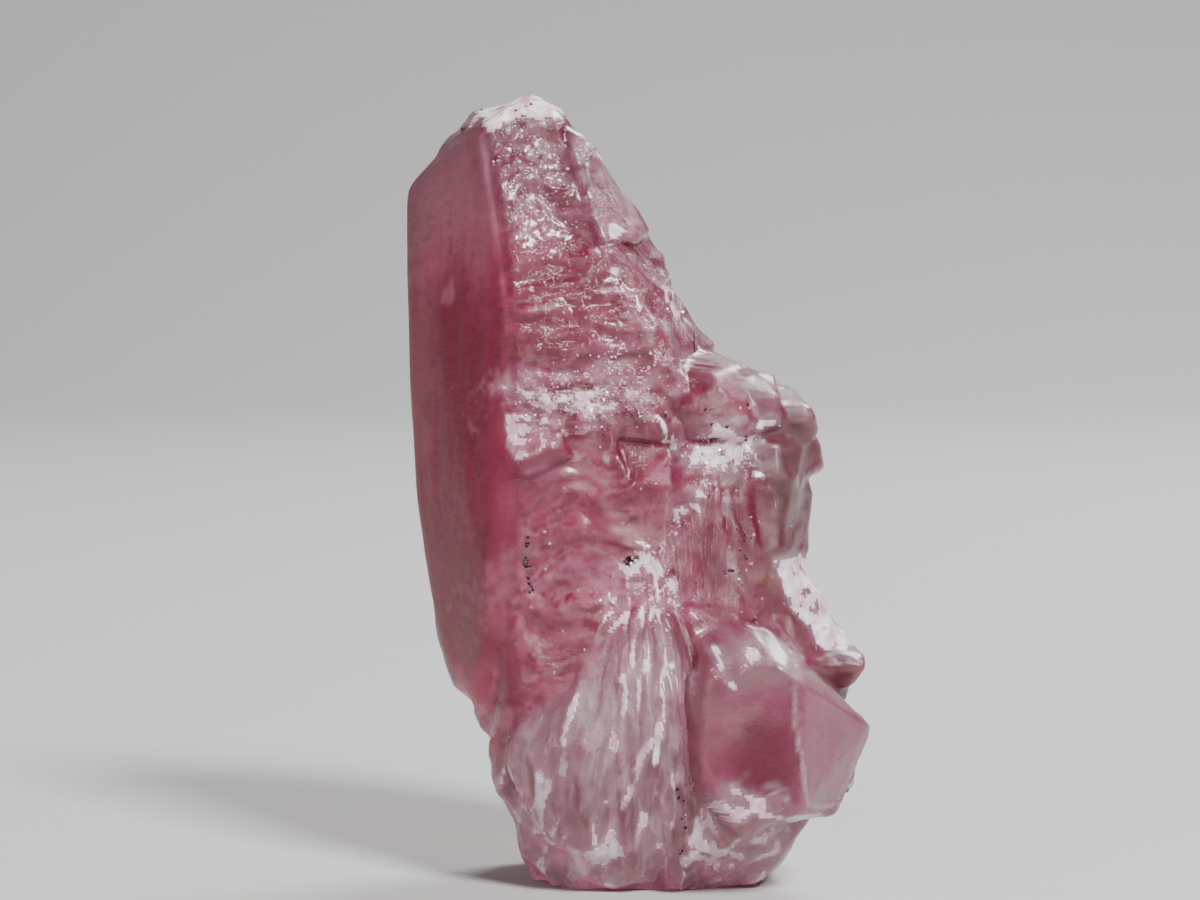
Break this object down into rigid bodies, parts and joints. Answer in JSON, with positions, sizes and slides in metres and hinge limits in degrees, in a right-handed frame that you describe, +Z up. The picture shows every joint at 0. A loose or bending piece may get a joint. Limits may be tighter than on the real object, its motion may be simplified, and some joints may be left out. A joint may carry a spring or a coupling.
{
  "type": "pezzottaite crystal",
  "caption": "Broken raspberry-pink pezzottaite prism on a pale fibrous foot, with a stepped shoulder and a small clear crystal grown into its side.",
  "frame": {"origin": "middle of the box's footprint, on the flat underside of the foot", "axes": "+Z up to the tip, +X to the right of a viewer who faces the broken front, +Y away from that viewer"},
  "size_m": [0.0072, 0.005, 0.012],
  "materials": {
    "pezzottaite": "glassy on the crystal faces, uneven and sparkling where it is broken"
  },
  "bodies": {
    "root": {"pezzottaite_crystal": "pezzottaite"}
  },
  "joints": []
}
